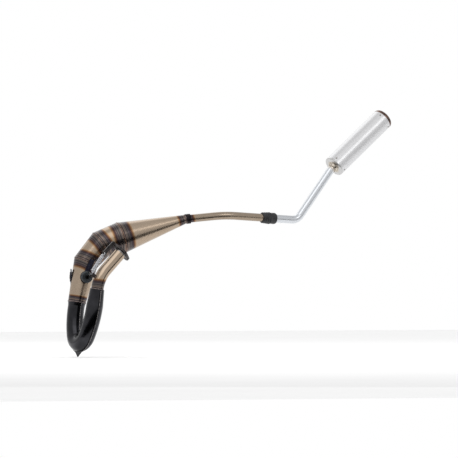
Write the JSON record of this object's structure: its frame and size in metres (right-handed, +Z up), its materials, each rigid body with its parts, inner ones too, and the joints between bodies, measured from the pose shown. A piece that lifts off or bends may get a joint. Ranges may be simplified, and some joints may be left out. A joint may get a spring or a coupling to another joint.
{
  "type": "racing exhaust system",
  "caption": "Two-stroke expansion chamber with a spring-held slip joint, U-bend, welded cones, stinger, rubber coupler and a riveted round silencer.",
  "frame": {"origin": "centre of the gasket face of the cylinder flange, on the axis of the exhaust port", "axes": "+X to the rear of the machine, along the longest extent; +Y to its far side, across the two legs of the U-bend; +Z up"},
  "size_m": [1.0178, 0.2061, 0.6913],
  "materials": {
    "lacquered_steel": "bare rolled steel under clear lacquer, heat tinted at every weld",
    "pressed_steel": "pressed steel blackened by heat, under clear lacquer",
    "flange_steel": "dark oiled plate steel",
    "spigot_steel": "turned steel",
    "bracket_steel": "plate steel, heat tinted near its welds",
    "burnt_steel": "steel blackened by welding",
    "zinc_wire": "bright zinc-plated spring wire",
    "plated_steel": "zinc-plated turned steel",
    "core_steel": "perforated steel tube",
    "seal_rubber": "heat-proof sealing rubber",
    "grommet_rubber": "moulded rubber",
    "bobbin_rubber": "moulded rubber with a slight sheen",
    "coupler_rubber": "matt moulded rubber",
    "bright_aluminium": "polished tube",
    "satin_aluminium": "fine brushed sleeve",
    "cap_aluminium": "turned cap",
    "dark_aluminium": "dark bronze anodised cap",
    "rivet_aluminium": "dome-head blind rivets",
    "packing_wool": "glass-fibre silencer packing"
  },
  "bodies": {
    "manifold": {"cylinder_flange": "flange_steel", "flange_spigot": "spigot_steel", "spring_tabs": "flange_steel"},
    "slip_seal": {"slip_joint_seals": "seal_rubber", "tension_spring_1": "zinc_wire", "tension_spring_2": "zinc_wire"},
    "chamber": {"header_tube": "lacquered_steel", "header_collar": "pressed_steel", "header_lugs": "flange_steel", "u_bend_front_half": "pressed_steel", "u_bend_rear_half": "pressed_steel", "rising_cone": "lacquered_steel", "lower_belly_cone": "lacquered_steel", "upper_belly_cone": "lacquered_steel", "tail_cone": "lacquered_steel", "stinger_tube": "lacquered_steel", "stinger_collar": "burnt_steel", "frame_bracket": "bracket_steel", "bracket_grommet": "grommet_rubber", "bobbin_post": "bracket_steel", "bobbin_cup": "bracket_steel", "bobbin_brace": "bracket_steel", "rubber_bobbin": "bobbin_rubber", "bobbin_insert": "plated_steel"},
    "mount_sleeve": {"bracket_sleeve": "plated_steel"},
    "coupler": {"rubber_coupler": "coupler_rubber"},
    "silencer": {"link_pipe": "bright_aluminium", "inlet_boss": "bright_aluminium", "inlet_cap": "cap_aluminium", "silencer_sleeve": "satin_aluminium", "outlet_cap": "dark_aluminium", "outlet_tip": "dark_aluminium", "inlet_rivets": "rivet_aluminium", "outlet_rivets": "rivet_aluminium", "perforated_core": "core_steel", "packing": "packing_wool"}
  },
  "joints": [
    {"name": "slip_joint_swivel", "type": "hinge", "parent": "manifold", "child": "slip_seal", "pos_m": [0, 0, 0], "axis": [-0.7071, 0, -0.7071], "range_deg": [-2, 2]},
    {"name": "slip_joint_slide", "type": "slide", "parent": "slip_seal", "child": "chamber", "axis": [-0.7071, 0, -0.7071], "range_m": [0, 0.004], "stiffness_N_per_m": 6000, "springref_m": -0.01, "deforming": ["tension_spring_1", "tension_spring_2"]},
    {"name": "mount_sleeve_turn", "type": "hinge", "parent": "chamber", "child": "mount_sleeve", "pos_m": [-0.06995, 0.1648, -0.07246], "axis": [-0.866, 0.5, 0], "continuous": true},
    {"name": "coupler_slide", "type": "slide", "parent": "chamber", "child": "coupler", "axis": [0.9972, 0.0496, -0.0558], "range_m": [0, 0.012]},
    {"name": "silencer_swivel", "type": "hinge", "parent": "coupler", "child": "silencer", "pos_m": [0.45791, 0.01699, 0.09315], "axis": [0.9972, 0.0496, -0.0558], "range_deg": [-25, 25]}
  ]
}
